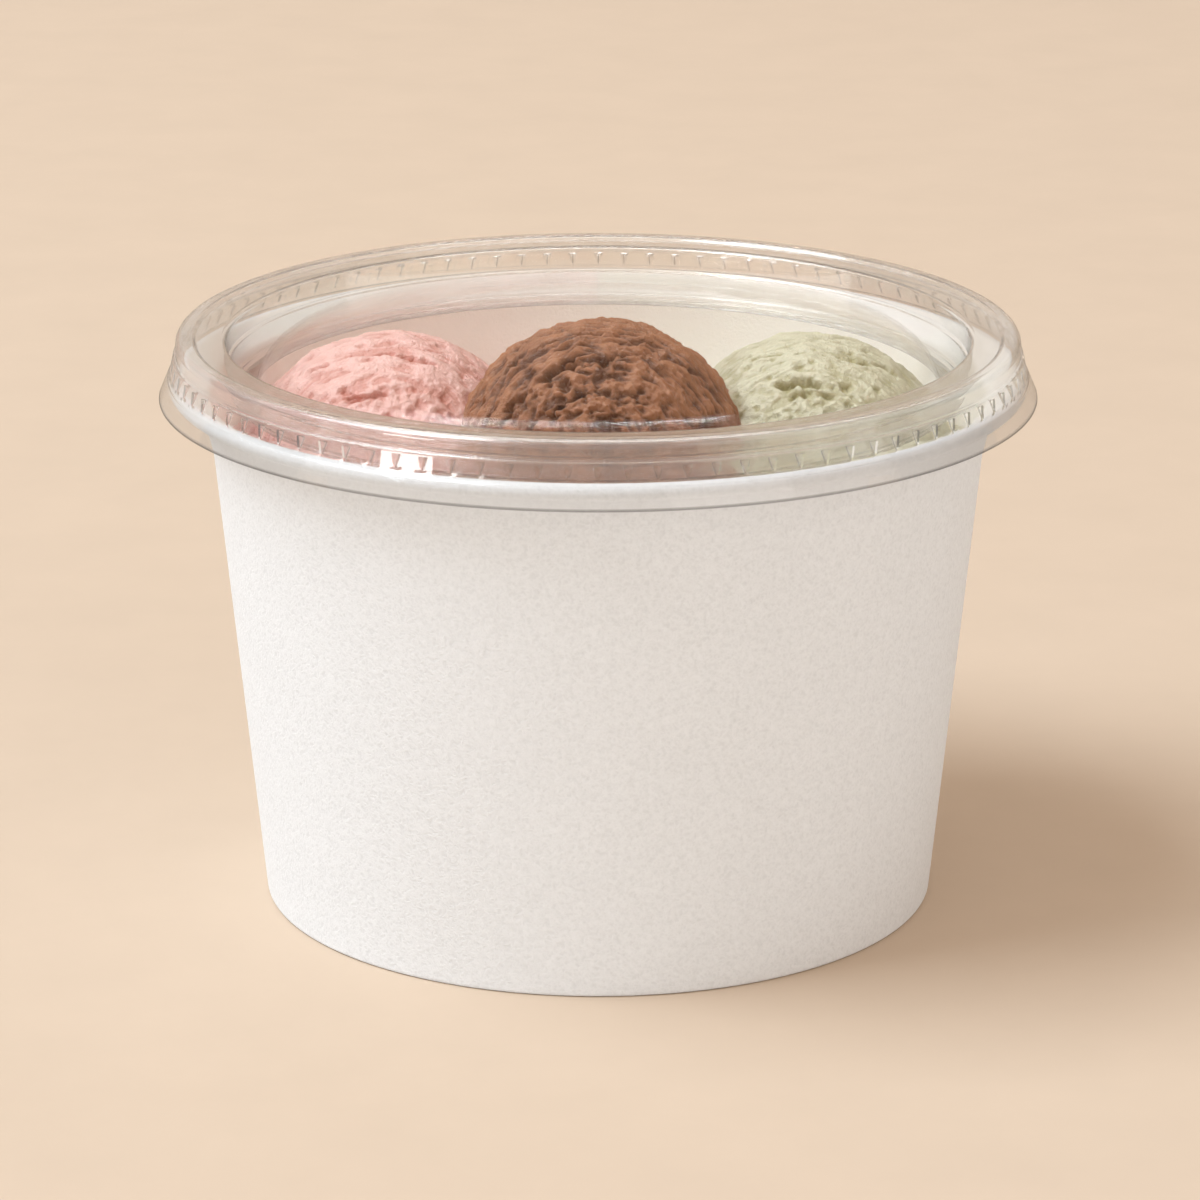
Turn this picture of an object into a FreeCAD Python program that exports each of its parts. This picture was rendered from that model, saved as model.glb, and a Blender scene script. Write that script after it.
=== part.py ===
import FreeCAD, Part
import math
import os

from FreeCAD import Vector

# Three flavours of ice cream in a round paper tub under a clear pressed-on lid.
# Millimetres, Z up. The origin is the middle of the ring that the tub stands on.
# The front of the tub is at -Y and its glued side seam is at +Y, at the back.

# ---- paper tub -------------------------------------------------------------
base_radius = 46.9          # outer radius of the folded bottom edge
taper = 0.0985              # how far the side leans out for each unit of height
tub_height = 74.5           # floor to the top of the rolled rim
board = 0.55                # thickness of the side's paper board
lip_slope = 33.0            # degrees above level that the lip rises, from wall to roll
lip_inside = 1.225          # inside radius where the wall turns out into the lip
rim_reach = 4.5             # how far the rolled rim stands out from the side
rim_depth = 2.3             # height of the roll
rim_inside = 0.575          # inside radius of the roll's bends
rim_tail_gap = 0.35         # space left between the roll's end and the lip
hem_height = 8.0            # height of the side's edge that is folded up inside
fold_inside = 0.055         # inside radius of that fold
seam_lap = 8.0              # width of the glued overlap of the side
seam_step = 0.35            # how far the pressed overlap stands out

# ---- bottom disc -----------------------------------------------------------
disc_board = 0.5            # thickness of the bottom's board
floor_height = 9.0          # top of the bottom disc above the table
skirt_inside = 0.55         # inside radius where the disc turns down into its skirt
skirt_clear = 0.05          # glue line between skirt, side and hem
skirt_lift = 1.2            # lower end of the skirt above the table

# ---- clear lid -------------------------------------------------------------
sheet = 0.4                 # thickness of the formed plastic sheet
rim_clear = 0.2             # air between the rolled rim and the lid's skirt
rim_nest = 0.45             # how far the rim's top stands up inside the lid's ledge
skirt_drop = 2.85           # skirt's lower edge below the ledge
skirt_flare = 1.2           # how far the skirt spreads on its way down
ledge = 0.2                 # width of the step between skirt and dent band
band_height = 3.1           # height of the dent band
band_lean = 0.65            # how far the band leans in on its way up
dents = 96                  # dents round the band
dent_width = 1.3            # width of a dent at its upper end
dent_depth = 0.55           # depth of a dent at its upper end
bead_height = 2.75          # height of the rounded bead above the band
bead_inset = 0.35           # how far the bead stands in from the band's top
bead_width = 2.35           # from the bead's outer side to the shelf
shelf_width = 4.6           # flat top between the bead and the well
shelf_drop = 0.6            # shelf below the top of the bead
step_one = 3.4              # first step of the well below the shelf
step_two = 3.3              # height of the well's second stage
step_width = 0.55           # width of each step in the well
moat_drop = 0.9             # bottom of the well below its lower step
moat_width = 2.6            # flat bottom of the well, round the crown
shoulder_lean = 1.7         # how far the crown's side leans in on its way up
crown_edge = 5.2            # crown's shoulder below the middle of the crown
crown_flat = 22.0           # radius where the crown starts to fall away
headroom = 0.5              # air between the tallest scoop and the lid

# ---- ice cream -------------------------------------------------------------
wall_gap = 0.2              # between the ice cream and the board
flavour_gap = 0.15          # between two flavours that are pressed together
fill_depth = 9.4            # packed level at the middle of the tub, below the rim
fill_slope = 0.115          # how much the packed level falls per unit towards the back

# Each scoop is placed from the middle of the rim: right, back and below the rim.
brown_scoop = {"radius": 21.0, "right": 0.3, "back": -4.0, "below_rim": 13.1}
pink_scoop = {"radius": 22.2, "right": -29.0, "back": 8.0, "below_rim": 18.8}
green_scoop = {"radius": 21.3, "right": 29.8, "back": 8.0, "below_rim": 18.1}
# The disher sweeps round a line that leans up from the front; tears follow its path.
sweep_lean = 17.3           # degrees above level
# Each tear: degrees out from that line, where it starts and ends round it, depth, width.
brown_tears = [(64.0, 72.0, 148.0, 1.4, 1.5), (45.0, 88.0, 150.0, 2.0, 2.0),
               (56.0, 50.0, 80.0, 1.8, 1.8)]
pink_tears = [(58.0, 68.0, 124.0, 0.8, 1.1)]
green_tears = [(40.0, 80.0, 110.0, 1.3, 1.4), (62.0, 51.0, 66.0, 0.9, 1.1)]
brown_left = 21.4           # brown's share at the front wall, left of the middle
brown_right = 19.4          # brown's share at the front wall, right of the middle
brown_pinch = 2.4           # how much narrower each side is beside the scoop
brown_back = 22.0           # where the three flavours meet, behind the middle


def wall_radius(height):
    """Outer radius of the paper side at a height above the table."""
    return base_radius + taper * height


def left_of(direction):
    return (-direction[1], direction[0])


def moved(point, direction, distance):
    return (point[0] + direction[0] * distance, point[1] + direction[1] * distance)


def in_profile(point):
    return Vector(point[0], 0, point[1])


def path_edges(corners, shift):
    """Edges of a path of straight runs joined by tangent arcs, moved to its left.

    corners holds (radius, height, bend radius) for each corner of the path.
    """
    ways = []
    for here, there in zip(corners, corners[1:]):
        length = math.hypot(there[0] - here[0], there[1] - here[1])
        ways.append(((there[0] - here[0]) / length, (there[1] - here[1]) / length))
    edges = []
    last = moved(corners[0], left_of(ways[0]), shift)
    for corner, way_in, way_out in zip(corners[1:-1], ways, ways[1:]):
        bend = corner[2]
        turn = math.atan2(way_in[0] * way_out[1] - way_in[1] * way_out[0],
                          way_in[0] * way_out[0] + way_in[1] * way_out[1])
        side = math.copysign(1.0, turn)
        reach = bend * math.tan(abs(turn) / 2)
        start = moved(corner, way_in, -reach)
        centre = moved(start, left_of(way_in), side * bend)
        size = bend - side * shift
        arc_start = moved(start, left_of(way_in), shift)
        arc_end = moved(moved(corner, way_out, reach), left_of(way_out), shift)
        middle_turn = turn / 2
        spoke = left_of(way_in)
        spoke = (-side * (spoke[0] * math.cos(middle_turn) - spoke[1] * math.sin(middle_turn)),
                 -side * (spoke[0] * math.sin(middle_turn) + spoke[1] * math.cos(middle_turn)))
        arc_middle = moved(centre, spoke, size)
        if math.dist(last, arc_start) > 1e-6:
            edges.append(Part.LineSegment(in_profile(last), in_profile(arc_start)).toShape())
        if bend:
            edges.append(Part.Arc(in_profile(arc_start), in_profile(arc_middle),
                                  in_profile(arc_end)).toShape())
        last = arc_end
    end = moved(corners[-1], left_of(ways[-1]), shift)
    edges.append(Part.LineSegment(in_profile(last), in_profile(end)).toShape())
    return edges


def first_point(edges):
    return edges[0].firstVertex().Point


def last_point(edges):
    return edges[-1].lastVertex().Point


def straight(start, end):
    return Part.LineSegment(start, end).toShape()


def strip(corners, thickness):
    """Profile of a bent sheet whose middle line is the path."""
    near = path_edges(corners, thickness / 2)
    far = path_edges(corners, -thickness / 2)
    caps = [straight(first_point(near), first_point(far)),
            straight(last_point(near), last_point(far))]
    return Part.Face(Part.Wire(Part.__sortEdges__(near + far + caps)))


def revolved(face, start_angle=0.0, angle=360.0):
    solid = face.revolve(Vector(0, 0, 0), Vector(0, 0, 1), angle)
    if start_angle:
        solid.rotate(Vector(0, 0, 0), Vector(0, 0, 1), start_angle)
    return solid


def lip_corners():
    """Where the wall's and the roll's lines meet the lip's, at the middle of the board."""
    half = board / 2
    angle = math.radians(lip_slope)
    rise = math.tan(angle)
    roll_out = wall_radius(tub_height) + rim_reach - half
    peak = tub_height - half + (rim_inside + half) * (rise + 1 / math.cos(angle) - 1)
    reach = roll_out - wall_radius(0) + half
    lip_foot = (peak - reach * rise) / (1 - taper * rise)
    return (wall_radius(lip_foot) - half, lip_foot), (roll_out, peak)


def side_path():
    """Middle line of the side: hem, bottom fold, wall, lip and rolled rim."""
    half = board / 2
    layers = disc_board + 2 * skirt_clear + board
    foot = wall_radius(half) - half
    hem_foot = foot - layers
    hem_top = (hem_foot + taper * (hem_height - half), hem_height, 0)
    lip_foot, roll_corner = lip_corners()
    roll_low = tub_height - rim_depth + half
    angle = math.radians(lip_slope)
    room = roll_corner[1] - roll_low - half - rim_tail_gap - half / math.cos(angle)
    return [hem_top,
            (hem_foot, half, fold_inside + half),
            (foot, half, fold_inside + half),
            (*lip_foot, lip_inside + half),
            (*roll_corner, rim_inside + half),
            (roll_corner[0], roll_low, rim_inside + half),
            (roll_corner[0] - room / math.tan(angle), roll_low, 0)]


def make_side():
    """Side of the tub, one blank with its rim, its hem and its glued seam."""
    side = revolved(strip(side_path(), board))
    seam_foot = 2 * (fold_inside + board)
    seam_top = lip_corners()[0][1] - lip_inside - board / 2
    outer = seam_step - board / 2
    seam = strip([(wall_radius(seam_foot) + outer, seam_foot, 0),
                  (wall_radius(seam_top) + outer, seam_top, 0)], board)
    width = math.degrees(seam_lap / wall_radius(tub_height / 2))
    return side.fuse(revolved(seam, 90 - width / 2, width)).removeSplitter()


def make_bottom():
    """Recessed disc that closes the tub, with its skirt held inside the hem."""
    half = disc_board / 2
    top = floor_height - half
    inset = board + skirt_clear + half
    return revolved(strip([(0, top, 0),
                           (wall_radius(top) - inset, top, skirt_inside + half),
                           (wall_radius(skirt_lift) - inset, skirt_lift, 0)], disc_board))


def scoop_middle(scoop):
    return Vector(scoop["right"], scoop["back"], tub_height - scoop["below_rim"])


def crown_height():
    """Top of the crown, just clear of the tallest scoop."""
    scoops = [brown_scoop, pink_scoop, green_scoop]
    tallest = max(scoop_middle(scoop).z + scoop["radius"] for scoop in scoops)
    return tallest + headroom + sheet


def lid_path():
    """Upper face of the lid, from the skirt's lower edge to the middle."""
    seat = tub_height - rim_nest + sheet
    rim_outside = wall_radius(tub_height) + rim_reach
    skirt_top = rim_outside + rim_clear + sheet
    band_foot = skirt_top - ledge
    band_top = band_foot - band_lean
    band_end = seat + band_height
    bead_side = band_top - bead_inset
    top = band_end + bead_height
    shelf = top - shelf_drop
    shelf_out = bead_side - bead_width
    well_top = shelf_out - shelf_width
    first = shelf - step_one
    second = first - step_two
    well_foot = well_top - 2 * step_width
    moat = second - moat_drop
    crown_foot = well_foot - moat_width
    crown_side = crown_foot - shoulder_lean
    crown = crown_height()
    tight = sheet + 0.06
    return [(skirt_top + skirt_flare, seat - skirt_drop, 0),
            (skirt_top, seat, tight),
            (band_foot, seat + 0.12, 0.12),
            (band_top, band_end, tight),
            (bead_side, band_end + 0.15, 0.12),
            (bead_side, top, 1.2),
            (shelf_out, top, 0.7),
            (shelf_out - 0.5, shelf, 0.4),
            (well_top, shelf, 0.7),
            (well_top - 0.1, first, 0.12),
            (well_top - step_width, first - 0.2, tight),
            (well_top - step_width - 0.1, second, 0.12),
            (well_foot, second - 0.2, tight),
            (well_foot - 0.1, moat, 0.3),
            (crown_foot, moat, 0.6),
            (crown_side, crown - crown_edge, 7.0),
            (crown_flat, crown, 150.0),
            (0, crown, 0)]


def lid_body(inset):
    """Solid under the lid's upper face, moved down and in by the inset."""
    surface = path_edges(lid_path(), inset)
    outer = first_point(surface)
    inner = last_point(surface)
    low = lid_path()[0][1] - inset
    corners = [outer, Vector(outer.x, 0, low), Vector(0, 0, low), inner]
    closing = [straight(start, end) for start, end in zip(corners, corners[1:])
               if start.distanceToPoint(end) > 1e-6]
    return revolved(Part.Face(Part.Wire(Part.__sortEdges__(surface + closing))))


def dent_tools(inset):
    """Ring of wedges that press the V-shaped dents into the band."""
    foot, head = lid_path()[2], lid_path()[3]
    upper = head[1] - 0.25
    lower = foot[1] + 0.15
    lean = (foot[0] - head[0]) / (head[1] - foot[1])
    face_upper = foot[0] - lean * (upper - foot[1]) - inset
    face_lower = foot[0] - lean * (lower - foot[1]) - inset
    deepest = Vector(face_upper - dent_depth, 0, upper)
    point = Vector(face_lower, 0, lower)
    left = Vector(face_upper, -dent_width / 2, upper)
    right = Vector(face_upper, dent_width / 2, upper)
    left = deepest + (left - deepest) * 1.6
    right = deepest + (right - deepest) * 1.6
    point = deepest + (point - deepest) * 1.15
    faces = [(deepest, left, right), (deepest, left, point),
             (deepest, right, point), (left, right, point)]
    shell = Part.Shell([Part.Face(Part.makePolygon([a, b, c, a])) for a, b, c in faces])
    wedge = Part.Solid(shell)
    ring = []
    for number in range(dents):
        copy = wedge.copy()
        copy.rotate(Vector(0, 0, 0), Vector(0, 0, 1), 360.0 * (number + 0.5) / dents)
        ring.append(copy)
    return Part.makeCompound(ring)


def make_lid():
    """Clear lid, formed from one sheet: skirt, dent band, bead, well and crown."""
    outside = lid_body(0).cut(dent_tools(0))
    inside = lid_body(sheet).cut(dent_tools(sheet))
    return outside.cut(inside)


def inner_space():
    """All the room in the closed tub, less the gap kept from board and lid."""
    path = lid_path()
    moat_under = path[14][1] - sheet - wall_gap
    wall_inside = wall_radius(moat_under) - board - wall_gap
    floor = floor_height + wall_gap
    floor_inside = wall_radius(floor) - board - wall_gap
    room = sheet + wall_gap
    foot, shoulder, crown = path[14], path[15], path[16]
    lean = (foot[0] - shoulder[0]) / (shoulder[1] - foot[1])
    slope = (crown[1] - shoulder[1]) / (shoulder[0] - crown[0])
    corners = [(0, crown[1] - room, 0),
               (crown[0], crown[1] - room, crown[2] - room),
               (shoulder[0] - room * (1 + lean), shoulder[1] - room * (1 - slope), shoulder[2] - room),
               (foot[0] - room, moat_under, 0),
               (wall_inside, moat_under, 0),
               (floor_inside, floor, 0),
               (0, floor, 0)]
    outline = path_edges(corners, 0)
    axis = straight(last_point(outline), first_point(outline))
    return revolved(Part.Face(Part.Wire(Part.__sortEdges__(outline + [axis]))))


def packed_layer(grow):
    """Everything under the sloping packed level."""
    span = 2 * wall_radius(tub_height)
    level = tub_height - fill_depth + grow
    rise = fill_slope * span
    corners = [Vector(-span, -span, 0), Vector(-span, span, 0),
               Vector(-span, span, level - rise), Vector(-span, -span, level + rise)]
    outline = Part.makePolygon(corners + corners[:1])
    return Part.Face(outline).extrude(Vector(2 * span, 0, 0))


def scoop_ball(scoop, grow):
    return Part.makeSphere(scoop["radius"] + grow, scoop_middle(scoop), Vector(0, 1, 0))


def tear_tools(scoop, tears):
    """Curved wedges, steep on the outer side, that open the tears in a scoop."""
    lean = math.radians(sweep_lean)
    sweep = Vector(0, -math.cos(lean), math.sin(lean))
    up = Vector(0, math.sin(lean), math.cos(lean))
    turn = FreeCAD.Rotation(Vector(1, 0, 0), up, sweep, "ZXY")
    wedges = []
    for tilt, start, end, depth, width in tears:
        tilt = math.radians(tilt)
        half = width / scoop["radius"]
        spots = [(tilt, scoop["radius"] - depth),
                 (tilt + 0.3 * half, scoop["radius"] + depth),
                 (tilt - 1.6 * half, scoop["radius"] + depth)]
        corners = [Vector(reach * math.sin(angle), 0, reach * math.cos(angle))
                   for angle, reach in spots]
        outline = Part.Face(Part.makePolygon(corners + corners[:1]))
        wedge = revolved(outline, start, end - start)
        wedge.Placement = FreeCAD.Placement(scoop_middle(scoop), turn).multiply(wedge.Placement)
        wedges.append(wedge)
    return Part.makeCompound(wedges)


def brown_share(grow):
    """Plan of the brown flavour's share of the tub, as a tall prism."""
    left = -brown_left - grow
    right = brown_right + grow
    front = -wall_radius(tub_height)
    beside = brown_scoop["back"]
    corners = [Vector(left, front, 0), Vector(right, front, 0),
               Vector(right - brown_pinch, beside, 0),
               Vector(0, brown_back + grow, 0),
               Vector(left + brown_pinch, beside, 0)]
    outline = Part.makePolygon(corners + corners[:1])
    return Part.Face(outline).extrude(Vector(0, 0, 2 * tub_height))


def brown_body(grow):
    packed = packed_layer(grow).common(brown_share(grow))
    return packed.fuse(scoop_ball(brown_scoop, grow))


def half_tub(side):
    """The left (-1) or right (+1) half of the tub, short of the middle."""
    span = 2 * wall_radius(tub_height)
    start = flavour_gap / 2 if side > 0 else -flavour_gap / 2 - span
    return Part.makeBox(span, 2 * span, 2 * tub_height, Vector(start, -span, 0))


def make_brown():
    """Brown ice cream: packed down at the front, with its scoop on top."""
    body = brown_body(0).common(inner_space()).removeSplitter()
    return body.cut(tear_tools(brown_scoop, brown_tears))


def make_side_flavour(scoop, tears, side):
    """Pink or green ice cream, pressed against the brown scoop."""
    body = packed_layer(0).fuse(scoop_ball(scoop, 0)).common(half_tub(side))
    body = body.cut(brown_body(flavour_gap))
    body = body.common(inner_space()).removeSplitter()
    return body.cut(tear_tools(scoop, tears))


def save(shape, name):
    solid = shape.Solids[0]
    print(name, len(shape.Solids), round(solid.Volume), solid.isValid(), solid.BoundBox)
    solid.exportStep("parts/" + name + ".step")


os.makedirs("parts", exist_ok=True)
save(make_side(), "tub_side")
save(make_bottom(), "tub_bottom")
save(make_lid(), "clear_lid")
save(make_brown(), "brown_ice_cream")
save(make_side_flavour(pink_scoop, pink_tears, -1), "pink_ice_cream")
save(make_side_flavour(green_scoop, green_tears, 1), "green_ice_cream")
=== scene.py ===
import math

import bmesh
import bpy
import numpy as np
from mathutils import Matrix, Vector


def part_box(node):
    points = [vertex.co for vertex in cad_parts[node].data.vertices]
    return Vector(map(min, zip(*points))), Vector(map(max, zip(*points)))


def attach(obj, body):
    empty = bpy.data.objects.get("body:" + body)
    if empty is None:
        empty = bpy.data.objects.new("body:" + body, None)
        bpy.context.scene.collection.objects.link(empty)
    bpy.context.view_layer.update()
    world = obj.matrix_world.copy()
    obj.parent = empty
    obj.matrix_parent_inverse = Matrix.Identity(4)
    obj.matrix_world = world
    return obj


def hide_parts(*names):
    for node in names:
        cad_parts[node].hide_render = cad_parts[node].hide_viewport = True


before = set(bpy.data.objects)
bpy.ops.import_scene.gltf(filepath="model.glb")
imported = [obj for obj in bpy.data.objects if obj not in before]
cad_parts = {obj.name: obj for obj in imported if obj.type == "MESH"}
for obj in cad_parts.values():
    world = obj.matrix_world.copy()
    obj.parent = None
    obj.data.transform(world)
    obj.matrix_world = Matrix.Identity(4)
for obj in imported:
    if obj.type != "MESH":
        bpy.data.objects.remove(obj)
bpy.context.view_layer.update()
MM = 0.001

# ---- The tub's side --------------------------------------------------------
# One blank of white, lightly clay-coated paper board, wrapped to a cone and
# glued at the back. Its top is rolled outwards into the rim, and its lower
# edge is folded up inside to hold the bottom.


class Wire:
    """A socket whose value can be used in sums."""

    def __init__(self, nodes, socket):
        self.nodes = nodes
        self.socket = socket

    def maths(self, operation, *values):
        return self.nodes.out(self.nodes.make("ShaderNodeMath", {"operation": operation},
                                              dict(enumerate(values))))

    def __add__(self, other):
        return self.maths("ADD", self, other)

    def __radd__(self, other):
        return self.maths("ADD", other, self)

    def __sub__(self, other):
        return self.maths("SUBTRACT", self, other)

    def __rsub__(self, other):
        return self.maths("SUBTRACT", other, self)

    def __mul__(self, other):
        return self.maths("MULTIPLY", self, other)

    def __rmul__(self, other):
        return self.maths("MULTIPLY", other, self)

    def __truediv__(self, other):
        return self.maths("DIVIDE", self, other)

    def __pow__(self, other):
        return self.maths("POWER", self, other)

    def __abs__(self):
        return self.maths("ABSOLUTE", self)

    def held(self):
        """The same value, kept between 0 and 1."""
        return self.maths("MINIMUM", self.maths("MAXIMUM", self, 0.0), 1.0)


class Nodes:
    """A node tree, and the one way in which its nodes are made and joined."""

    def __init__(self, tree):
        self.tree = tree

    def link(self, source, node, name):
        """Joins a node's first output, or the socket of a wire, to a node's input."""
        socket = source.socket if isinstance(source, Wire) else source.outputs[0]
        self.tree.links.new(socket, node.inputs[name])

    def make(self, kind, settings=None, sockets=None):
        node = self.tree.nodes.new(kind)
        for key, value in (settings or {}).items():
            setattr(node, key, value)
        for key, value in (sockets or {}).items():
            if isinstance(value, (Wire, bpy.types.Node)):
                self.link(value, node, key)
            else:
                node.inputs[key].default_value = value
        return node

    def out(self, node, name=0):
        return Wire(self, node.outputs[name])

    def layered(self, share, below, above):
        """Mix of two shaders; the share is that of the second."""
        return self.make("ShaderNodeMixShader", None, {0: share.held(), 1: below, 2: above})


class Finish(Nodes):
    """A material and the nodes that make its surface."""

    def __init__(self, name):
        self.material = bpy.data.materials.new(name)
        self.material.use_nodes = True
        super().__init__(self.material.node_tree)
        self.tree.nodes.clear()

    def noise(self, size, detail, roughness):
        """Noise whose features are about this many millimetres across."""
        place = self.out(self.make("ShaderNodeTexCoord"), "Object")
        node = self.make("ShaderNodeTexNoise", None,
                         {"Vector": place, "Scale": 1 / (size * MM),
                          "Detail": detail, "Roughness": roughness})
        return self.out(node, "Fac")

    def mixed(self, factor, first, second):
        """Mix of two colours."""
        node = self.make("ShaderNodeMix", {"data_type": "RGBA"},
                         {0: factor, 6: first, 7: second})
        return self.out(node, 2)

    def bump(self, height, depth, strength=1.0):
        """Normal of a surface whose height varies by depth millimetres."""
        node = self.make("ShaderNodeBump", None,
                         {"Height": height, "Distance": depth * MM, "Strength": strength})
        return self.out(node)

    def finish(self, surface):
        self.make("ShaderNodeOutputMaterial", None, {"Surface": surface})
        return self.material


def bent_line(corners, shift, spacing=14):
    """Points of a line of straight runs and tangent arcs, moved to its left.

    Each corner is (radius, height, bend radius) in millimetres, and the spacing is in degrees.
    """
    points = []
    spots = [np.array(corner[:2], float) for corner in corners]
    ways = [(b - a) / np.linalg.norm(b - a) for a, b in zip(spots, spots[1:])]
    lefts = [np.array((-way[1], way[0])) for way in ways]
    points.append(spots[0] + lefts[0] * shift)
    for index in range(1, len(corners) - 1):
        way_in, way_out = ways[index - 1], ways[index]
        bend = corners[index][2]
        turn = math.atan2(way_in[0] * way_out[1] - way_in[1] * way_out[0], way_in @ way_out)
        side = math.copysign(1, turn)
        start = spots[index] - way_in * bend * math.tan(abs(turn) / 2)
        centre = start + lefts[index - 1] * side * bend
        size = bend - side * shift
        steps = max(2, round(math.degrees(abs(turn)) / spacing))
        for step in range(steps + 1):
            angle = turn * step / steps
            spoke = -side * lefts[index - 1]
            spoke = np.array((spoke[0] * math.cos(angle) - spoke[1] * math.sin(angle),
                              spoke[0] * math.sin(angle) + spoke[1] * math.cos(angle)))
            points.append(centre + spoke * size)
    points.append(spots[-1] + lefts[-1] * shift)
    return points


def bent_sheet(corners, low, high):
    """Closed outline of a bent sheet, between two shifts of its line."""
    return bent_line(corners, high) + bent_line(corners, low)[::-1]


def turned(name, outline, angles, closed=True):
    """Mesh of an outline turned round the tub's axis, with points on the axis merged."""
    rings = []
    verts = []
    for radius, height in outline:
        if radius < 1e-6:
            rings.append([len(verts)] * len(angles))
            verts.append((0, 0, height * MM))
        else:
            rings.append(list(range(len(verts), len(verts) + len(angles))))
            verts += [(radius * math.sin(a) * MM, -radius * math.cos(a) * MM, height * MM)
                      for a in angles]
    faces = []
    pairs = list(zip(rings, rings[1:] + rings[:1])) if closed else list(zip(rings, rings[1:]))
    count = len(angles)
    for upper, lower in pairs:
        for i in range(count):
            j = (i + 1) % count
            face = [upper[i], upper[j], lower[j], lower[i]]
            face = [v for k, v in enumerate(face) if v != face[k - 1]]
            if len(face) > 2:
                faces.append(face)
    mesh = bpy.data.meshes.new(name)
    mesh.from_pydata(verts, [], faces)
    mesh.validate()
    return mesh


def placed(name, mesh, material, sharp=40):
    """Finished piece at the origin, smooth but for its sharp edges, facing outwards."""
    bm = bmesh.new()
    bm.from_mesh(mesh)
    bmesh.ops.remove_doubles(bm, verts=bm.verts, dist=1e-7)
    bmesh.ops.recalc_face_normals(bm, faces=bm.faces)
    bm.to_mesh(mesh)
    bm.free()
    mesh.polygons.foreach_set("use_smooth", [True] * len(mesh.polygons))
    mesh.set_sharp_from_angle(angle=math.radians(sharp))
    mesh.materials.clear()
    mesh.materials.append(material)
    piece = bpy.data.objects.new(name, mesh)
    bpy.context.scene.collection.objects.link(piece)
    return piece


rim_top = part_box("tub_side")[1][2] / MM
rim_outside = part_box("tub_side")[1][0] / MM
board = 0.55
disc_board = 0.5
glue = 0.05
base_radius = 46.9
taper = 0.0985
hem_height = 8.0
hem_inset = disc_board + 2 * glue + board
fold_bend = 0.33
lip_slope = math.radians(33)
lip_bend = 1.5
rim_bend = 0.85
rim_depth = 2.3
rim_tail_gap = 0.35
foot = base_radius + taper * board / 2 - board / 2


def wall(height):
    """Radius of the wall's outside at this height."""
    return base_radius + taper * height


round_steps = 384
round_angles = [2 * math.pi * k / round_steps for k in range(round_steps)]
lip_rise = math.tan(lip_slope)
roll_out = rim_outside - board / 2
roll_low = rim_top - rim_depth + board / 2
roll_peak = rim_top - board / 2 + rim_bend * (lip_rise + 1 / math.cos(lip_slope) - 1)
lip_foot = (roll_peak - (roll_out - base_radius + board / 2) * lip_rise) / (1 - taper * lip_rise)
tail_room = roll_peak - roll_low - board / 2 - rim_tail_gap - board / 2 / math.cos(lip_slope)
side_line = [(foot - hem_inset + taper * hem_height, hem_height, 0),
             (foot - hem_inset, board / 2, fold_bend),
             (foot, board / 2, fold_bend),
             (wall(lip_foot) - board / 2, lip_foot, lip_bend),
             (roll_out, roll_peak, rim_bend),
             (roll_out, roll_low, rim_bend),
             (roll_out - tail_room / lip_rise, roll_low, 0)]
side_mesh = turned("tub_side_board", bent_sheet(side_line, -board / 2, board / 2), round_angles)


def shaded(colour, part):
    return tuple(share * part for share in colour) + (1,)


def paper(name, white, inside):
    """White board with a fine felt of fibres, and a paler, warmer tone inside the tub: partly the
    board's creamier inside face, partly painted light that lifts the shaded inside.
    """
    skin = Finish(name)
    fibres = skin.noise(0.8, 3.0, 0.65)
    strands = (1 - abs(skin.noise(0.75, 2.0, 0.5) - 0.5) * 5).held()
    cloud = skin.noise(14.0, 2.0, 0.5)
    felt = 0.5 + (fibres - 0.5) * 1.2 + (strands - 0.35) * 0.55 + (cloud - 0.5) * 0.2
    tone = skin.mixed(felt.held(), shaded(white, 0.90), shaded(white, 1.04))
    geometry = skin.make("ShaderNodeNewGeometry")
    spot = skin.make("ShaderNodeSeparateXYZ", None, {0: skin.out(geometry, "Position")})
    facing = skin.make("ShaderNodeSeparateXYZ", None, {0: skin.out(geometry, "Normal")})
    outward = skin.out(spot, 0) * skin.out(facing, 0) + skin.out(spot, 1) * skin.out(facing, 1)
    inward = (outward * -60).held()
    above = ((skin.out(spot, 2) / MM - (hem_height + 1.2)) * 4).held()
    # The inside is paler and warmer: partly the board's own creamier face, partly painted light
    # lifting the shaded inside.
    tone = skin.mixed(inward * above, tone, (*inside, 1))
    body = skin.make("ShaderNodeBsdfPrincipled", None,
                     {"Base Color": tone, "Roughness": 0.62 + fibres * 0.12, "IOR": 1.45,
                      "Normal": skin.bump(strands * 0.6 + fibres * 0.8, 0.055)})
    return skin.finish(body)


# The second colour is the inside's: partly its own cream, partly painted light.
white_board = paper("white_paper_board", (0.865, 0.868, 0.88), (0.98, 0.945, 0.89))
tub_side = placed("tub_side_board", side_mesh, white_board)
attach(tub_side, "root")
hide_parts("tub_side")

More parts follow.
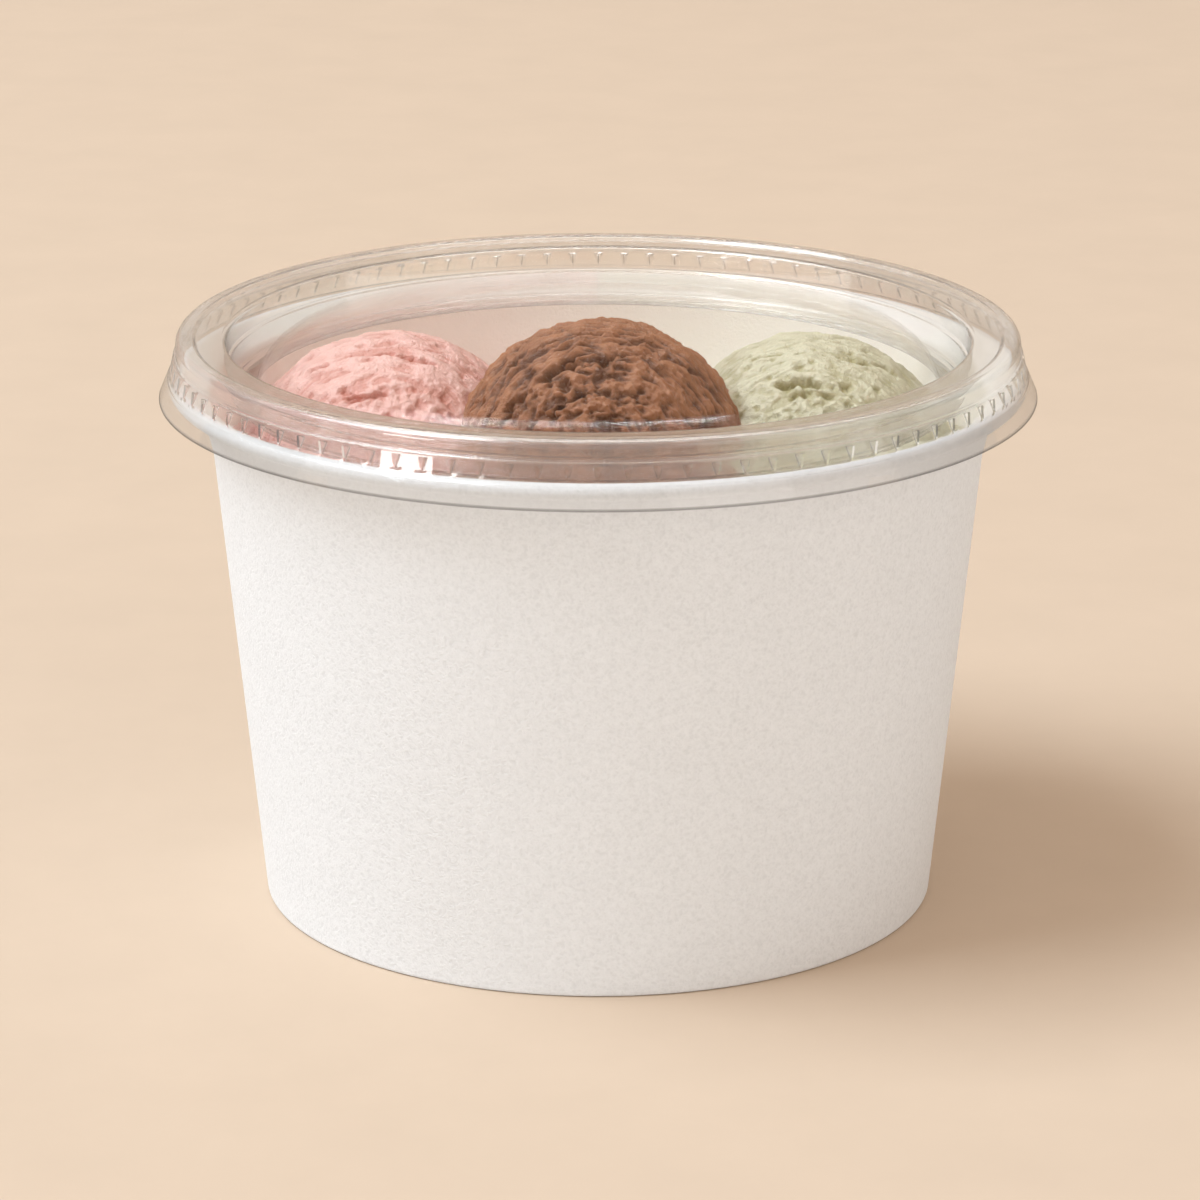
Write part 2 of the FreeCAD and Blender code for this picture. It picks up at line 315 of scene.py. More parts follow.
# The seam is where the blank's ends overlap and are pressed together, at the
# back. The outer end stands out by a little less than one thickness.
seam_lap = 8.0
seam_radius = 50
seam_proud = 0.34
seam_sunk = 0.2
seam_foot = 1.5
seam_top = lip_foot - 1.5
seam_across = 13
seam_up = 40
seam_verts = []
for reach, low, high in ((seam_proud, seam_foot, seam_top), (-seam_sunk, seam_top, seam_foot)):
    for height in np.linspace(low, high, seam_up):
        radius = wall(height) + reach
        for k in range(seam_across):
            angle = math.pi + (k / (seam_across - 1) - 0.5) * seam_lap / seam_radius
            seam_verts.append((radius * math.sin(angle) * MM, -radius * math.cos(angle) * MM,
                               height * MM))
seam_grid = np.arange(2 * seam_up * seam_across).reshape(2 * seam_up, seam_across)
seam_next = np.roll(seam_grid, -1, axis=0)
seam_faces = np.stack([seam_grid[:, :-1], seam_grid[:, 1:], seam_next[:, 1:], seam_next[:, :-1]],
                      -1).reshape(-1, 4).tolist()
for end in (0, -1):
    edge = seam_grid[:, end].tolist()
    for k in range(seam_up - 1):
        seam_faces.append((edge[k], edge[k + 1], edge[-2 - k], edge[-1 - k]))
seam_mesh = bpy.data.meshes.new("side_seam")
seam_mesh.from_pydata(seam_verts, [], seam_faces)
side_seam = placed("side_seam", seam_mesh, white_board)
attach(side_seam, "root")
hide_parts("tub_side")

# ---- The tub's bottom ------------------------------------------------------
# A recessed disc of the same board, with its edge turned down and sealed
# between the side and the side's folded hem.

floor_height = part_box("tub_bottom")[1][2] / MM
disc_middle = floor_height - disc_board / 2
disc_inset = board + glue + disc_board / 2
skirt_foot = 1.2
skirt_bend = 0.8
bottom_line = [(0, disc_middle, 0),
               (wall(disc_middle) - disc_inset, disc_middle, skirt_bend),
               (wall(skirt_foot) - disc_inset, skirt_foot, 0)]
bottom_mesh = turned("tub_bottom_disc", bent_sheet(bottom_line, -disc_board / 2, disc_board / 2),
                     round_angles)
tub_bottom = placed("tub_bottom_disc", bottom_mesh, white_board)
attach(tub_bottom, "root")
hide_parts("tub_bottom")

# ---- The ice cream ---------------------------------------------------------
# Each flavour is packed down in its share of the tub and topped with one ball
# from a disher, which drags the surface into ridges, tears and small pits.


def lumps(points, size, seed):
    """Smooth noise, about -1 to 1, with features of this size."""
    spots = points / size + seed * 0.37
    cells = np.floor(spots).astype(np.int64)
    inside = spots - cells
    fade = inside ** 3 * (inside * (inside * 6 - 15) + 10)
    total = np.zeros(len(points))
    for corner in np.ndindex(2, 2, 2):
        cell = cells + corner
        code = (cell[:, 0] * 374761393 + cell[:, 1] * 668265263
                + cell[:, 2] * 1440662683 + seed * 974711) & 0xffffffff
        code = ((code ^ (code >> 13)) * 1274126177) & 0xffffffff
        code ^= code >> 16
        away = inside - corner
        push = sum((((code >> shift) & 1023) / 511.5 - 1) * away[:, axis]
                   for axis, shift in enumerate((0, 10, 20)))
        total += push * np.prod(np.where(corner, fade, 1 - fade), axis=1)
    return total * 1.6


def rough(points, size, seed):
    """Four sizes of noise, each half the size and strength of the last."""
    return sum(lumps(points, size / 2 ** k, seed + k) / 2 ** k for k in range(4))


def step(low, high, value):
    part = np.clip((value - low) / (high - low), 0, 1)
    return part * part * (3 - 2 * part)


def ice_cream(name, light, mid, deep, shine, gloss):
    """Creamy frozen foam, its raised crests paler as painted light, and its tears, pits and dips
    darker: partly the torn foam's stronger colour, partly painted shade.
    """
    cream = Finish(name)
    hollow_tint_and_shade = cream.out(cream.make("ShaderNodeAttribute", {"attribute_name": "hollow_tint_and_shade"}), "Fac")
    crest_shading = cream.out(cream.make("ShaderNodeAttribute", {"attribute_name": "crest_shading"}), "Fac")
    mottle = cream.noise(3.2, 3.0, 0.55)
    grains = cream.noise(0.7, 4.0, 0.62)
    flakes = (abs(cream.noise(1.1, 3.0, 0.6) - 0.5) * 4).held()
    # Painted light: the raised crests are paler.
    tone = cream.mixed((crest_shading * 0.85 + (mottle - 0.45) * 1.3).held(), (*mid, 1), (*light, 1))
    # Darker in tears, pits, dips and low places: in the tears partly the torn foam's own stronger
    # colour, and everywhere painted shade.
    tone = cream.mixed((hollow_tint_and_shade * 0.9 + (0.28 - crest_shading).held() * 1.6).held(), tone, (*deep, 1))
    body = cream.make("ShaderNodeBsdfPrincipled", None,
                      {"Base Color": tone, "Roughness": shine + grains * 0.2, "IOR": 1.4,
                       "Specular IOR Level": gloss, "Subsurface Weight": 0.08,
                       "Subsurface Radius": (0.9, 0.55, 0.4), "Subsurface Scale": 1.2 * MM,
                       "Normal": cream.bump(grains + flakes * 0.5, 0.30, 0.9)})
    return cream.finish(body)


def woven(verts, rows, count, poles):
    """Points and faces of rows of points round an axis, closed by a fan at each pole."""
    index = np.arange(rows * count).reshape(rows, count)
    after = np.roll(index, -1, axis=1)
    faces = np.stack([index[:-1], after[:-1], after[1:], index[1:]], -1).reshape(-1, 4).tolist()
    verts = verts.tolist()
    for row, pole in ((0, poles[0]), (rows - 1, poles[1])):
        ring = index[row].tolist()
        verts.append(list(pole))
        faces += [[len(verts) - 1, ring[k], ring[(k + 1) % count]] for k in range(count)]
    return verts, faces


def served(name, verts, faces, marks, material, node):
    """Puts ice cream in the tub, with its marks for painted light and shade in its colour; each
    has a value for the rest.
    """
    mesh = bpy.data.meshes.new(name)
    mesh.from_pydata(verts, [], faces)
    for label, (values, rest) in marks.items():
        mark = mesh.attributes.new(label, "FLOAT", "POINT")
        others = np.full(len(verts) - len(values), rest)
        mark.data.foreach_set("value", np.concatenate([values, others]))
    piece = placed(name, mesh, material, sharp=180)
    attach(piece, "root")
    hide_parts(node)


def scooped(name, middle, radius, seed, tears, pits, drag, coarse, material, node):
    """A ball from a disher: rings of points round the line that the tool swept.

    Each tear is two ends, as degrees out from that line and round it, a depth and a width.
    """
    sweep = np.array((0, -0.955, 0.297))
    across = np.array((1.0, 0, 0))
    up = np.cross(sweep, across)
    up /= np.linalg.norm(up)
    tilts = np.concatenate([np.linspace(0.4, 96, 216, endpoint=False), np.linspace(96, 179.6, 56)])
    turns = 344
    tilt, turn = np.meshgrid(np.radians(tilts), np.arange(turns) * 2 * np.pi / turns,
                             indexing="ij")
    tilt, turn = tilt.ravel(), turn.ravel()
    ways = (np.cos(tilt)[:, None] * sweep + np.sin(tilt)[:, None]
            * (np.cos(turn)[:, None] * across + np.sin(turn)[:, None] * up))
    spots = ways * radius + middle

    # The blade's ridges run round the sweep line, and are plainer where it scraped.
    warp = 0.9 * lumps(spots, 5.0, seed + 11) + 0.25 * lumps(spots, 1.6, seed + 15)
    out = tilt * radius + warp
    along = np.stack([out / 1.15, 3.4 * np.cos(turn), 3.4 * np.sin(turn)], 1)
    fine = np.stack([out / 0.5, 5.0 * np.cos(turn), 5.0 * np.sin(turn)], 1)
    scraped = step(-0.35, 0.5, lumps(spots, 7.0, seed + 21)) * step(0.5, 1.0, tilt)
    pull = drag * (0.6 + 0.4 * scraped)
    relief = 0.30 * rough(spots, 3.6, seed + 5)
    relief += pull * (0.5 - np.abs(lumps(along, 1.0, seed + 31)) * 2.0)
    relief += 0.5 * pull * (0.4 - np.abs(lumps(fine, 1.0, seed + 41)) * 1.6)

    # The middle, where the ball broke away, is left in crags.
    inner = 1 - step(0.55, 0.85, tilt + 0.08 * lumps(spots, 3.0, seed + 51))
    twisted = spots + 1.1 * np.stack([lumps(spots, 2.6, seed + 60 + k) for k in range(3)], 1)
    crags = 0.9 * rough(twisted, 1.7, seed + 61) - np.abs(lumps(twisted, 2.9, seed + 65)) + 0.25
    relief += coarse * (0.3 + 0.7 * inner) * 1.5 * crags
    height = 0.34 * lumps(spots, 9.0, seed) + relief
    # Mark where tears and pits open, to darken the colour there: partly the torn foam's own
    # colour, partly painted shade.
    hollow_tint_and_shade = np.zeros(len(spots))

    # Tears open in pockets under a raised lip.
    for number, (tilt_a, turn_a, tilt_b, turn_b, depth, width) in enumerate(tears):
        share = (np.degrees(turn) - turn_a) / (turn_b - turn_a)
        ends = step(-0.06, 0.06, share) * step(-0.06, 0.06, 1 - share)
        wander = 0.55 * lumps(spots, 2.4, seed + 71 + number) + 0.35 * lumps(spots, 0.9, seed + 75)
        line = np.radians(tilt_a + (tilt_b - tilt_a) * share)
        off = (tilt - line) * radius + wander * width
        pockets = step(-0.3, 0.3, lumps(spots, 3.4, seed + 81 + number)
                       + 0.5 * lumps(spots, 1.3, seed + 91 + number))
        floor = np.where(off < 0, step(-width, 0, off), 1 - step(0.0, 0.3 * width, off))
        lip = np.exp(-((off + 1.15 * width) / (0.4 * width)) ** 2)
        cut = depth * ends * (0.12 + 0.88 * pockets) * floor
        height += 0.22 * depth * ends * lip - cut
        hollow_tint_and_shade = np.maximum(hollow_tint_and_shade, ends * floor * (0.2 + 0.8 * pockets))

    # Small pits are bubbles that the blade opened.
    chance = np.random.default_rng(seed)
    for _ in range(pits):
        spot_tilt, spot_turn = math.radians(chance.uniform(22, 96)), chance.uniform(0, 2 * math.pi)
        spot = (math.cos(spot_tilt) * sweep + math.sin(spot_tilt)
                * (math.cos(spot_turn) * across + math.sin(spot_turn) * up))
        size = chance.uniform(0.25, 0.75)
        near = np.flatnonzero(ways @ spot > math.cos(2.2 * size / radius))
        gap = np.arccos(np.clip(ways[near] @ spot, -1, 1)) * radius / size
        dip = np.exp(-(gap + 0.35 * lumps(spots[near], 0.5, seed + 99)) ** 4)
        height[near] -= 0.9 * size * dip
        # Painted shade: the pits are darkened.
        hollow_tint_and_shade[near] = np.maximum(hollow_tint_and_shade[near], 0.75 * dip)

    # The relief stays inside the ball that the tub and the lid leave room for.
    # Crest mark: the raised relief is paled as painted light, the low relief darkened as painted
    # shade.
    crest_shading = step(-1.0, 1.0, (relief - relief.mean()) / relief.std())
    inset = 0.75
    size = radius - inset + np.minimum(height, inset - 0.02)
    poles = [(middle + sweep * float(size[:turns].mean())) * MM,
             (middle - sweep * float(size[-turns:].mean())) * MM]
    verts, faces = woven((ways * size[:, None] + middle) * MM, len(tilts), turns, poles)
    served(name, verts, faces, {"hollow_tint_and_shade": (np.clip(hollow_tint_and_shade, 0, 1), 0.0), "crest_shading": (crest_shading, 0.0)},
           material, node)


fill_level = 65.1
fill_slope = 0.115
side_room = board + 0.25
bottom_room = 0.2


def round_the_side(start, end):
    """Points where the falling top meets the tapered side, from one angle to another."""
    first, last = math.atan2(start[1], start[0]), math.atan2(end[1], end[0])
    if start[2] < 0 and last > first:
        last -= 2 * math.pi
    if start[2] > 0 and last < first:
        last += 2 * math.pi
    steps = max(8, round(abs(last - first) * 62))
    points = []
    for angle in np.linspace(first, last, steps, endpoint=False):
        reach = (wall(fill_level) - side_room) / (1 + taper * fill_slope * math.sin(angle))
        points.append((reach * math.cos(angle), reach * math.sin(angle)))
    return points


def straight_across(start, end):
    steps = max(2, round(math.dist(start[:2], end[:2]) / 0.9))
    return [(start[0] + (end[0] - start[0]) * k / steps,
             start[1] + (end[1] - start[1]) * k / steps) for k in range(steps)]


def packed(name, hub, outline, seed, material, node):
    """Packed layer: a ragged top that falls to the back, and the tub's own taper below.

    Each corner is (right, back, way round the side or 0 for a straight line).
    """
    edge = []
    for start, end in zip(outline, outline[1:] + outline[:1]):
        edge += round_the_side(start, end) if start[2] else straight_across(start, end)
    edge = np.array(edge)
    count = len(edge)
    hub = np.array(hub)
    rings = 1 - (1 - np.linspace(0, 1, 76)[1:]) ** 1.25
    flat = np.concatenate([hub + (edge - hub) * part for part in rings])
    level = fill_level - fill_slope * flat[:, 1]
    spots = np.column_stack([flat, level])
    lift = 0.5 * lumps(spots, 8.0, seed) + 0.35 * rough(spots, 3.0, seed + 3)
    lift -= 0.9 * step(0.25, 0.6, lumps(spots, 3.0, seed + 7))
    top = level - 0.45 + np.minimum(lift, 0.42)
    rows = [np.column_stack([flat, top]) * MM]
    floor = floor_height + bottom_room
    reach = np.linalg.norm(edge, axis=1)
    edge_top = top[-count:]
    sides = 25
    for part in np.linspace(0, 1, sides + 1)[1:]:
        height = edge_top + (floor - edge_top) * part
        scale = np.minimum(1, (wall(height) - side_room) / reach)
        rows.append(np.column_stack([edge * scale[:, None], height]) * MM)
    total = len(rings) + sides
    verts, faces = woven(np.concatenate(rows), total, count,
                         [(hub[0] * MM, hub[1] * MM, float(top[:count].mean()) * MM),
                          (hub[0] * MM, hub[1] * MM, floor * MM)])
    # Painted shade in the dips of the packed top, and painted light on its rises through the crest
    # mark.
    dip_shade = np.clip(-lift * 0.8, 0, 1)
    served(name, verts, faces, {"hollow_tint_and_shade": (dip_shade, 0.0), "crest_shading": (step(-0.5, 0.4, lift), 0.5)},
           material, node)


# Each flavour's colours are for crests, middles and hollows; the paler crest and the darker hollow
# colours carry painted light and painted shade.
brown_cream = ice_cream("brown_ice_cream", (0.405, 0.178, 0.088), (0.170, 0.064, 0.028),
                        (0.060, 0.015, 0.005), 0.22, 0.30)
brown_tears = [(66, 152, 62, 66, 1.8, 1.5), (46, 152, 45, 84, 3.0, 2.3),
               (45, 92, 63, 45, 2.9, 2.1), (78, 150, 76, 96, 0.7, 0.8),
               (28, 140, 30, 60, 0.9, 1.0)]
scooped("brown_scoop", np.array((0.3, -4.0, rim_top - 13.1)), 21.0, 3, brown_tears, 70, 0.80, 0.50,
        brown_cream, "brown_ice_cream")
packed("brown_packed", (-1.0, -30.0),
       [(-21.3, -48.3, 1), (19.3, -49.2, 0), (17.0, -4.0, 0), (0.0, 21.9, 0), (-19.0, -4.0, 0)],
       11, brown_cream, "brown_ice_cream")

pink_cream = ice_cream("pink_ice_cream", (0.86, 0.540, 0.485), (0.75, 0.410, 0.355),
                       (0.58, 0.22, 0.165), 0.28, 0.5)
pink_tears = [(61, 126, 54, 66, 0.9, 1.2), (76, 128, 70, 98, 0.6, 0.8),
              (35, 118, 33, 76, 0.9, 1.2), (66, 52, 72, 20, 0.6, 0.9)]
scooped("pink_scoop", np.array((-29.0, 8.0, rim_top - 18.8)), 22.2, 5, pink_tears, 150, 0.28, 0.24,
        pink_cream, "pink_ice_cream")
packed("pink_packed", (-31.0, 4.0),
       [(-0.1, 51.9, 1), (-21.5, -48.2, 0), (-19.2, -4.0, 0), (-0.1, 22.1, 0)],
       13, pink_cream, "pink_ice_cream")

green_cream = ice_cream("green_ice_cream", (0.67, 0.635, 0.465), (0.54, 0.505, 0.355),
                        (0.42, 0.375, 0.190), 0.30, 0.5)
green_tears = [(42, 112, 38, 78, 1.5, 1.6), (34, 108, 32, 70, 0.8, 1.0),
               (62, 118, 59, 104, 0.8, 0.9), (60, 66, 64, 50, 1.0, 1.2),
               (69, 84, 68, 70, 0.6, 0.8)]
scooped("green_scoop", np.array((29.8, 8.0, rim_top - 18.1)), 21.3, 7, green_tears, 170, 0.28,
        0.24, green_cream, "green_ice_cream")
packed("green_packed", (30.0, 4.0),
       [(19.5, -49.1, 1), (0.1, 51.9, 0), (0.1, 22.1, 0), (17.2, -4.0, 0)],
       17, green_cream, "green_ice_cream")

# ---- The clear lid ---------------------------------------------------------
# One sheet of clear plastic, drawn hot over a mould: a flared skirt round the
# rim, a band of pressed dents, a rounded bead, a stepped well and a low crown.

sheet = 0.4
seat = rim_top - 0.45 + sheet
lid_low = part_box("clear_lid")[0][2] / MM
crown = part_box("clear_lid")[1][2] / MM
skirt_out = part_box("clear_lid")[1][0] / MM
skirt_top = skirt_out - 1.2
band_foot = skirt_top - 0.2
band_top = band_foot - 0.65
band_end = seat + 3.1
bead_side = band_top - 0.35
bead_top = band_end + 2.75
shelf = bead_top - 0.6
shelf_out = bead_side - 2.35
well_top = shelf_out - 4.6
first = shelf - 3.4
second = first - 3.3
moat = second - 0.9
well_foot = well_top - 1.1
crown_foot = well_foot - 2.6
tight = sheet + 0.06
lower_line = [(skirt_out, lid_low, 0), (skirt_top, seat, tight), (band_foot, seat + 0.12, 0.12),
              (band_foot - 0.03, seat + 0.27, 0)]
upper_line = [(band_top + 0.087, band_end - 0.40, 0), (band_top, band_end, tight),
              (bead_side, band_end + 0.15, 0.12), (bead_side, bead_top, 1.2),
              (shelf_out, bead_top, 0.7), (shelf_out - 0.5, shelf, 0.4), (well_top, shelf, 0.7),
              (well_top - 0.1, first, 0.12), (well_top - 0.55, first - 0.2, tight),
              (well_top - 0.65, second, 0.12), (well_foot, second - 0.2, tight),
              (well_foot - 0.1, moat, 0.3), (crown_foot, moat, 0.6),
              (crown_foot - 1.7, crown - 5.2, 7.0), (22.0, crown, 150.0), (0, crown, 0)]
dents = 96
dent_width = 1.3
dent_depth = 0.55
dent_shoulder = 0.34
pitch = 2 * math.pi / dents
notch = dent_width / 2 / band_top / pitch
shares = [-0.5, -dent_shoulder, -notch, 0.0, notch, dent_shoulder]
lid_angles = [(k + share) * pitch for k in range(dents) for share in shares]
outer_band = [np.array(lower_line[-1][:2]), np.array(upper_line[0][:2])]
lean = (outer_band[1] - outer_band[0]) / np.linalg.norm(outer_band[1] - outer_band[0])
skirt_mesh = turned("lid_skirt", bent_line(lower_line, sheet, 24)[::-1]
                    + bent_line(lower_line, 0, 24), lid_angles, closed=False)
crown_mesh = turned("lid_crown", bent_line(upper_line, 0, 17), lid_angles, closed=False)
under_mesh = turned("lid_under", bent_line(upper_line, sheet, 17), lid_angles, closed=False)


def band_pitch(name, inset):
    """One pitch of the band with its V-shaped dent, widest and deepest at its top."""
    side = np.array((-lean[1], lean[0])) * inset
    low, high = outer_band[0] + side, outer_band[1] + side
    verts, faces = [], []
    across = 7
    tip, brow = 0.06, 0.92
    parts = [0.0, tip, 0.2, 0.35, 0.5, 0.65, 0.8, 0.88, brow, 0.96, 1.0]
    for part in parts:
        radius, height = low + (high - low) * part
        grow = min(max((part - tip) / (brow - tip), 0), 1) if part <= brow else 0.0
        wide = notch if part in (0.0, 1.0) or grow == 0 else notch * max(grow, 0.15)
        for share in (-0.5, -dent_shoulder, -wide, 0.0, wide, dent_shoulder, 0.5):
            dip = dent_depth * grow if share == 0 else 0
            angle = share * pitch
            verts.append(((radius - dip) * math.sin(angle) * MM,
                          -(radius - dip) * math.cos(angle) * MM, height * MM))
    for row in range(len(parts) - 1):
        for a in range(row * across, (row + 1) * across - 1):
            faces.append((a, a + 1, a + across + 1, a + across))
    mesh = bpy.data.meshes.new(name)
    mesh.from_pydata(verts, [], faces)
    return mesh


def clear_sheet():
    """Clear plastic: clearer where it is drawn thin, and grey at its edges and tight bends; the
    grey line along its cut edge is painted, standing in for the dark line that refraction draws
    there.
    """
    clear = Finish("clear_lid_sheet")
    geometry = clear.make("ShaderNodeNewGeometry")
    spot = clear.make("ShaderNodeSeparateXYZ", None, {0: clear.out(geometry, "Position")})
    thin_radius, thick_radius, bead_radius, bead_edge = 44.0, 51.5, 54.0, 58.3
    squared = clear.out(spot, 0) * clear.out(spot, 0) + clear.out(spot, 1) * clear.out(spot, 1)
    squared = squared / (MM * MM)
    inner = (1 - (squared - thin_radius ** 2) / (thick_radius ** 2 - thin_radius ** 2)).held()
    beaded = (((squared - bead_radius ** 2) / 150.0).held()
              - ((squared - bead_edge ** 2) / 40.0).held() * 0.6)
    solid = clear.make("ShaderNodeBsdfGlass", None,
                       {"Color": (0.99, 0.988, 0.985, 1), "Roughness": 0.015, "IOR": 1.48})
    thin = clear.make("ShaderNodeBsdfTransparent", None, {"Color": (0.99, 0.985, 0.98, 1)})
    haze = clear.make("ShaderNodeBsdfDiffuse", None, {"Color": (0.92, 0.91, 0.90, 1)})
    dim = clear.make("ShaderNodeBsdfTransparent", None, {"Color": (0.87, 0.865, 0.86, 1)})
    open_way = clear.make("ShaderNodeBsdfTransparent", None, {"Color": (0.97, 0.965, 0.96, 1)})
    path = clear.make("ShaderNodeLightPath")
    passing = clear.out(path, "Is Shadow Ray") + clear.out(path, "Is Diffuse Ray")
    shade = clear.layered(inner, dim, open_way)
    pane = clear.layered(0.15 + inner * 0.80, solid, thin)
    pane = clear.layered(beaded * 0.04, pane, haze)
    edge_on = clear.out(clear.make("ShaderNodeLayerWeight", None, {"Blend": 0.5}), "Facing")
    # Painted dark line: a grey band along the skirt's cut edge.
    painted_edge_line = ((lid_low + 0.26 - clear.out(spot, 2) / MM) * 8).held()
    grey = clear.make("ShaderNodeBsdfTransparent", None, {"Color": (0.48, 0.47, 0.465, 1)})
    pane = clear.layered(edge_on ** 7.0 * (1 - inner) * 0.6 + painted_edge_line * 0.55, pane, grey)
    return clear.finish(clear.layered(passing, pane, shade))


lid_material = clear_sheet()


def ring_of_pitches(name, pitch_mesh, rest_mesh, count, material):
    """Repeats one pitch round the axis and welds the ring to the rest of the sheet."""
    tree = bpy.data.node_groups.new(name, "GeometryNodeTree")
    tree.interface.new_socket("Rest", in_out="INPUT", socket_type="NodeSocketGeometry")
    for label, kind, value in (("Pitch piece", "NodeSocketObject", None),
                               ("Dents", "NodeSocketInt", count)):
        socket = tree.interface.new_socket(label, in_out="INPUT", socket_type=kind)
        if value is not None:
            socket.default_value = value
    tree.interface.new_socket("Sheet", in_out="OUTPUT", socket_type="NodeSocketGeometry")

    build = Nodes(tree)
    given = build.make("NodeGroupInput")
    line = build.make("GeometryNodeMeshLine", None,
                      {"Count": build.out(given, "Dents"), "Offset": (0, 0, 0)})
    number = build.out(build.make("GeometryNodeInputIndex"))
    angle = number / build.out(given, "Dents") * (2 * math.pi)
    spin = build.make("ShaderNodeCombineXYZ", None, {"Z": angle})
    model = build.make("GeometryNodeObjectInfo", None, {"Object": build.out(given, "Pitch piece")})
    ring = build.make("GeometryNodeInstanceOnPoints", None,
                      {"Points": line, "Instance": build.out(model, "Geometry"), "Rotation": spin})
    real = build.make("GeometryNodeRealizeInstances", None, {"Geometry": ring})
    joined = build.make("GeometryNodeJoinGeometry", None, {"Geometry": real})
    build.link(build.out(given, "Rest"), joined, "Geometry")
    welded = build.make("GeometryNodeMergeByDistance", None,
                        {"Geometry": joined, "Distance": 0.02 * MM})
    painted = build.make("GeometryNodeSetMaterial", None,
                         {"Geometry": welded, "Material": material})
    build.make("NodeGroupOutput", None, {"Sheet": painted})

    carrier = bpy.data.objects.new(name + "_pitch", pitch_mesh)
    bpy.context.scene.collection.objects.link(carrier)
    host = bpy.data.objects.new(name + "_host", rest_mesh)
    bpy.context.scene.collection.objects.link(host)
    modifier = host.modifiers.new(name, "NODES")
    modifier.node_group = tree
    names = {item.name: item.identifier for item in tree.interface.items_tree
             if item.item_type == "SOCKET" and item.in_out == "INPUT"}
    modifier[names["Pitch piece"]] = carrier
    modifier[names["Dents"]] = count
    shown = host.evaluated_get(bpy.context.evaluated_depsgraph_get())
    mesh = bpy.data.meshes.new_from_object(shown)
    mesh.name = name
    for helper in (host, carrier):
        bpy.data.objects.remove(helper)
    return mesh


def put_together(name, parts):
    """One mesh of several."""
    bm = bmesh.new()
    for part in parts:
        bm.from_mesh(part)
    mesh = bpy.data.meshes.new(name)
    bm.to_mesh(mesh)
    bm.free()
    return mesh


rest_mesh = put_together("lid_rest", (skirt_mesh, crown_mesh, under_mesh))
pitch_mesh = put_together("band_pitch", (band_pitch("band_outside", 0.0),
                                         band_pitch("band_inside", sheet)))
lid_mesh = ring_of_pitches("lid_sheet", pitch_mesh, rest_mesh, dents, lid_material)
clear_lid = placed("clear_lid_sheet", lid_mesh, lid_material, sharp=35)
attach(clear_lid, "root")
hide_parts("clear_lid")

# ---- Table, light and camera -----------------------------------------------
# A plain warm-beige sweep that rises behind the tub, in a pale warm room with
# one large soft lamp on the left. Cards and dark flags at the sides draw the
# lid's edges, as a studio sets them for clear plastic.

sweep_colour = (0.640, 0.505, 0.388)
ground = Finish("beige_sweep")
speck = ground.noise(22.0, 4.0, 0.6)
tint = ground.mixed(speck, shaded(sweep_colour, 0.95), shaded(sweep_colour, 1.03))
path = ground.make("ShaderNodeLightPath")
seen = (ground.out(path, "Is Camera Ray") + ground.out(path, "Is Glossy Ray")
        + ground.out(path, "Is Transmission Ray"))
tint = ground.mixed(seen.held(), (0.66, 0.60, 0.54, 1), tint)
matt = ground.make("ShaderNodeBsdfDiffuse", None, {"Color": tint})
floor_front, floor_back, sweep_bend, sweep_top, half_width = -3.0, 1.6, 1.2, 4.0, 4.0
curve = [(floor_back + sweep_bend * math.sin(a), sweep_bend * (1 - math.cos(a)))
         for a in np.linspace(0.1, math.pi / 2, 14)]
rows = [(floor_front, 0.0), (floor_back, 0.0), *curve, (floor_back + sweep_bend, sweep_top)]
floor_mesh = bpy.data.meshes.new("table")
floor_mesh.from_pydata([(x, y, z) for y, z in rows for x in (-half_width, half_width)], [],
                       [(2 * k, 2 * k + 1, 2 * k + 3, 2 * k + 2) for k in range(len(rows) - 1)])
floor_mesh.polygons.foreach_set("use_smooth", [True] * len(floor_mesh.polygons))
floor_mesh.materials.append(ground.finish(matt))
table = bpy.data.objects.new("table", floor_mesh)
bpy.context.scene.collection.objects.link(table)

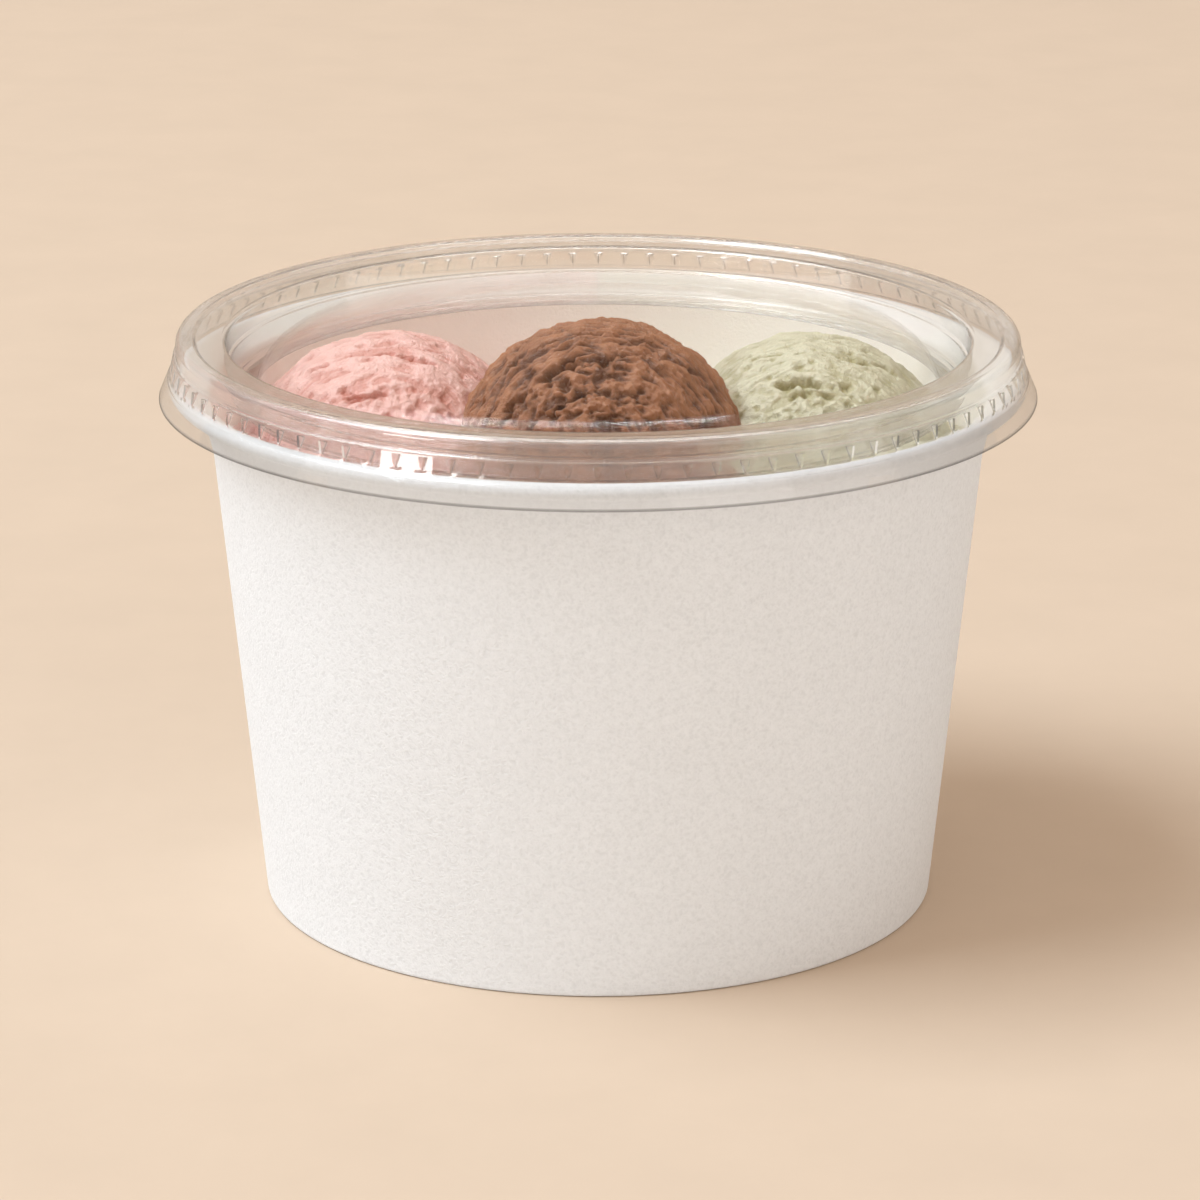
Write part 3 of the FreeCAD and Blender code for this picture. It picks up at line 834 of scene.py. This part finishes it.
world = bpy.data.worlds.new("pale_room")
world.use_nodes = True
world.node_tree.nodes.clear()
room = Nodes(world.node_tree)
sky = room.make("ShaderNodeBackground", None, {"Color": (1.0, 0.895, 0.80, 1), "Strength": 0.76})
gleam = room.make("ShaderNodeBackground", None, {"Color": (1.0, 0.985, 0.97, 1), "Strength": 1.0})
flag = room.make("ShaderNodeBackground", None, {"Color": (0.30, 0.28, 0.27, 1), "Strength": 0.5})
way = room.out(room.make("ShaderNodeTexCoord"), "Generated")
parts = room.make("ShaderNodeSeparateXYZ", None, {0: way})
beside = (((abs(room.out(parts, 0)) - 0.50) * 5.0).held()
          * ((0.42 - room.out(parts, 2)) * 6.0).held())
ray = room.make("ShaderNodeLightPath")
bent = room.out(ray, "Is Glossy Ray") + room.out(ray, "Is Transmission Ray")
surround = room.layered(bent, sky, room.layered(beside, gleam, flag))
room.make("ShaderNodeOutputWorld", None, {"Surface": surround})
bpy.context.scene.world = world


def lamp(name, spot, target, size, watts, colour=(1, 1, 1)):
    data = bpy.data.lights.new(name, "AREA")
    data.shape = "RECTANGLE"
    data.size, data.size_y = size
    data.energy = watts
    data.color = colour
    light = bpy.data.objects.new(name, data)
    light.location = spot
    light.rotation_euler = (Vector(target) - Vector(spot)).to_track_quat("-Z", "Y").to_euler()
    bpy.context.scene.collection.objects.link(light)
    return light


lamp("key", (-1.75, -0.30, 2.70), (0, 0, 0.04), (2.0, 2.0), 100, (0.78, 0.90, 1.0))
lamp("fill", (1.2, -1.6, 1.1), (0, 0, 0.05), (1.2, 1.2), 3, (1.0, 0.97, 0.94))

for name, spot, size, watts in (("top_card", (-0.25, 0.75, 1.75), (1.5, 0.45), 13),
                                ("left_card", (-0.95, -0.50, 1.70), (0.45, 0.75), 37),
                                ("low_card", (-1.50, -1.25, 0.36), (0.50, 0.30), 7)):
    card = lamp(name, spot, (0, 0, 0.08), size, watts)
    card.visible_diffuse = False

scene = bpy.context.scene
scene.view_settings.view_transform = "Standard"
scene.cycles.max_bounces = 24
scene.cycles.transmission_bounces = 24
scene.cycles.transparent_max_bounces = 24
lens = bpy.data.cameras.new("camera")
lens.lens = 153.62
lens.sensor_width = 36
lens.clip_start = 0.01
camera = bpy.data.objects.new("camera", lens)
camera.location = (0.00025, -0.68469, 0.254355)
look_down = 0.302
camera.rotation_euler = (math.pi / 2 - look_down, 0, 0)
scene.collection.objects.link(camera)
scene.camera = camera
